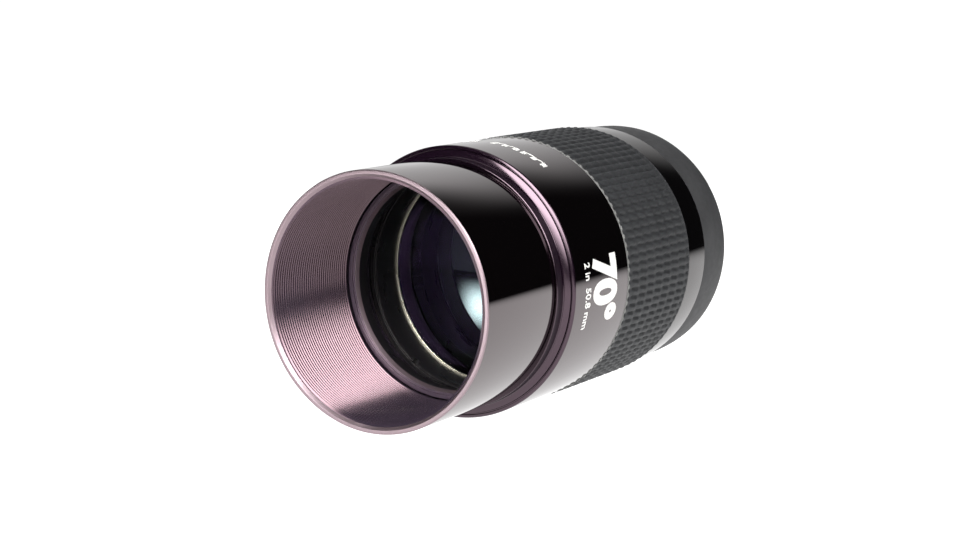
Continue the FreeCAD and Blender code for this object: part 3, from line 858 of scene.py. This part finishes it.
white_ink, ink_shader = principled("white_printing_ink", (0.9, 0.89, 0.86), 0.4)
ink_tone = add_node(white_ink, "ShaderNodeMix", data_type="RGBA")
ink_tone.inputs["A"].default_value = (0.84, 0.83, 0.8, 1)
ink_tone.inputs["B"].default_value = (0.94, 0.93, 0.9, 1)
white_ink.node_tree.links.new(noise(white_ink, 900, detail=4), ink_tone.inputs["Factor"])
white_ink.node_tree.links.new(ink_tone.outputs["Result"], ink_shader.inputs["Base Color"])
ink_roughness = spread(white_ink, noise(white_ink, 1500), 0.3, 0.5)
white_ink.node_tree.links.new(ink_roughness, ink_shader.inputs["Roughness"])
# Height and length, station of the feet, angle of the start and weight of the strokes.
prints = (
    printed("field_figure", "70°", 10.2, 13.8, 9.1, 12.5, 0.05),
    printed("nose_size_figure", "2 in  50.8 mm", 2.1, 13.5, 5.2, 11, 0.02),
    printed("focal_length_figure", "35 mm", 2.9, 25.0, 10.7, 108.5, 0.02),
)
for ink in prints:
    ink.data.materials.append(white_ink)
    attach(ink, "eyepiece")


# Studio: a glowing white table, and soft cards around it that only show in the polish. Two
# more cards show only through the lenses, and so does a black sheet of painted shade on the
# table behind the eyepiece. The camera sees white all round.

FLOOR_GAP = 0.02
FLOOR_HEIGHT = cad_box[0].z - FLOOR_GAP * MM


def feathered_glow(name, strength, feather):
    """The glow of a card that fades towards its edges, as a softbox's cloth does."""
    material = bpy.data.materials.new(name)
    material.use_nodes = True
    nodes = material.node_tree.nodes
    links = material.node_tree.links
    nodes.remove(nodes["Principled BSDF"])
    glow = add_node(material, "ShaderNodeEmission")
    clear = add_node(material, "ShaderNodeBsdfTransparent")
    both = add_node(material, "ShaderNodeAddShader")
    place = add_node(material, "ShaderNodeTexCoord")
    split = add_node(material, "ShaderNodeSeparateXYZ")
    product = add_node(material, "ShaderNodeMath", operation="MULTIPLY")
    level = add_node(material, "ShaderNodeMath", operation="MULTIPLY")
    level.inputs[1].default_value = strength
    links.new(place.outputs["Object"], split.inputs[0])
    for socket, (axis, width) in enumerate(zip("XY", feather)):
        distance = add_node(material, "ShaderNodeMath", operation="ABSOLUTE")
        fade = add_node(
            material, "ShaderNodeMapRange", interpolation_type="SMOOTHSTEP",
            From_Min=0.5, From_Max=0.5 - 0.5 * width,
        )
        links.new(split.outputs[axis], distance.inputs[0])
        links.new(distance.outputs[0], fade.inputs["Value"])
        links.new(fade.outputs["Result"], product.inputs[socket])
    links.new(product.outputs[0], level.inputs[0])
    links.new(level.outputs[0], glow.inputs["Strength"])
    links.new(glow.outputs[0], both.inputs[0])
    links.new(clear.outputs[0], both.inputs[1])
    links.new(both.outputs[0], nodes["Material Output"].inputs["Surface"])
    return material


def card(name, azimuth, elevation, distance, width, height, strength, feather=(0.3, 0.3)):
    """A glowing card that faces the eyepiece, unseen by the camera but not by the polish."""
    start_afresh()
    level = distance * math.cos(math.radians(elevation))
    place = Vector((
        level * math.sin(math.radians(azimuth)),
        level * math.cos(math.radians(azimuth)),
        distance * math.sin(math.radians(elevation)),
    ))
    bpy.ops.mesh.primitive_plane_add(size=1, location=place)
    sheet = bpy.context.object
    sheet.name = name
    sheet.scale = (width, height, 1)
    sheet.rotation_euler = (-place).to_track_quat("Z", "Y").to_euler()
    sheet.data.materials.append(feathered_glow(name + "_glow", strength, feather))
    sheet.visible_camera = False
    sheet.visible_transmission = False
    return sheet


def show_only_through_glass(sheet):
    """Hide a card from everything but a view through the lenses."""
    sheet.visible_camera = False
    sheet.visible_glossy = False
    sheet.visible_diffuse = False
    sheet.visible_shadow = False
    sheet.visible_transmission = True


TABLE_RADIUS = 0.45
TABLE_GLOW = 1.32


def glowing_paper():
    """White paper lit from below. In reflections its glow fades towards the table's edge."""
    paper, shader = principled("glowing_white_table", (0.08, 0.08, 0.08), 0.9)
    shader.inputs["Emission Color"].default_value = (1, 1, 1, 1)
    place = add_node(paper, "ShaderNodeTexCoord")
    reach = add_node(paper, "ShaderNodeVectorMath", operation="LENGTH")
    fade = add_node(
        paper, "ShaderNodeMapRange", interpolation_type="SMOOTHSTEP",
        From_Min=TABLE_RADIUS, From_Max=0.4 * TABLE_RADIUS, To_Max=TABLE_GLOW,
    )
    path = add_node(paper, "ShaderNodeLightPath")
    seen = add_node(paper, "ShaderNodeMath", operation="MULTIPLY")
    seen.inputs[1].default_value = TABLE_GLOW
    glow = add_node(paper, "ShaderNodeMath", operation="MAXIMUM")
    links = paper.node_tree.links
    links.new(place.outputs["Object"], reach.inputs[0])
    links.new(reach.outputs["Value"], fade.inputs["Value"])
    links.new(path.outputs["Is Camera Ray"], seen.inputs[0])
    links.new(fade.outputs["Result"], glow.inputs[0])
    links.new(seen.outputs[0], glow.inputs[1])
    links.new(glow.outputs[0], shader.inputs["Emission Strength"])
    return paper


start_afresh()
bpy.ops.mesh.primitive_circle_add(
    vertices=128, radius=TABLE_RADIUS, fill_type="NGON", location=(0, 0.02, FLOOR_HEIGHT),
)
table = bpy.context.object
table.name = "light_table"
table.data.materials.append(glowing_paper())

# Azimuth and elevation in degrees, then distance, width and height in metres, and strength.
card("backdrop", -42, 21, 0.9, 1.9, 0.98, 1.1, feather=(1.0, 0.6))
card("mouth_light", 170, 25, 0.55, 0.44, 0.52, 14, feather=(0.12, 0.75))
card("low_light", -161.6, -3, 0.158, 0.055, 0.045, 7, feather=(0.5, 0.5))
card("dim_sky", -14, 33, 0.9, 0.9, 0.55, 0.2, feather=(1.0, 1.0))
card("side_light", 125, 35, 0.9, 0.6, 0.5, 8)
card("top_light", -60, 80, 0.9, 0.7, 0.7, 0.6)

# A black sheet on the table behind the eyepiece, seen only through the lenses: painted shade that
# stands for the shadowed table there.
start_afresh()
bpy.ops.mesh.primitive_plane_add(size=1, location=(0, 0.35, FLOOR_HEIGHT + 0.0002))
shade_flag = bpy.context.object
shade_flag.name = "painted_shade_flag"
shade_flag.scale = (0.7, 0.6, 1)
shade_flag.data.materials.append(principled("painted_shade_flock", (0.01, 0.008, 0.009), 0.9)[0])
show_only_through_glass(shade_flag)
show_only_through_glass(card("bright_front", 180, 35, 0.34, 0.9, 0.6, 1.0, feather=(0.05, 0.05)))
show_only_through_glass(card("bright_exit", -4, 10.5, 0.9, 0.38, 0.36, 3.2, feather=(1.0, 1.0)))

AMBIENT = 0.006
SEEN_WHITE = 1.05
world = bpy.data.worlds.new("studio")
bpy.context.scene.world = world
world.use_nodes = True
world_nodes = world.node_tree.nodes
world_links = world.node_tree.links
dark = world_nodes["Background"]
dark.inputs["Color"].default_value = (AMBIENT, AMBIENT, AMBIENT, 1)
white = world_nodes.new("ShaderNodeBackground")
white.inputs["Color"].default_value = (1, 1, 1, 1)
white.inputs["Strength"].default_value = SEEN_WHITE
path = world_nodes.new("ShaderNodeLightPath")
choice = world_nodes.new("ShaderNodeMixShader")
world_links.new(path.outputs["Is Camera Ray"], choice.inputs["Fac"])
world_links.new(dark.outputs[0], choice.inputs[1])
world_links.new(white.outputs[0], choice.inputs[2])
world_links.new(choice.outputs[0], world_nodes["World Output"].inputs["Surface"])

CAMERA_PLACE = (0.2116, -0.3502, 0.0627)
CAMERA_AZIMUTH = 30.1
CAMERA_ELEVATION = 8.49
CAMERA_LENS = 75.6
CAMERA_SENSOR = 36
bpy.ops.object.camera_add(location=CAMERA_PLACE)
camera = bpy.context.object
camera.rotation_euler = (math.radians(90 - CAMERA_ELEVATION), 0, math.radians(CAMERA_AZIMUTH))
camera.data.lens = CAMERA_LENS
camera.data.sensor_width = CAMERA_SENSOR
camera.data.clip_start = 0.01
bpy.context.scene.camera = camera
bpy.context.scene.view_settings.view_transform = "Standard"
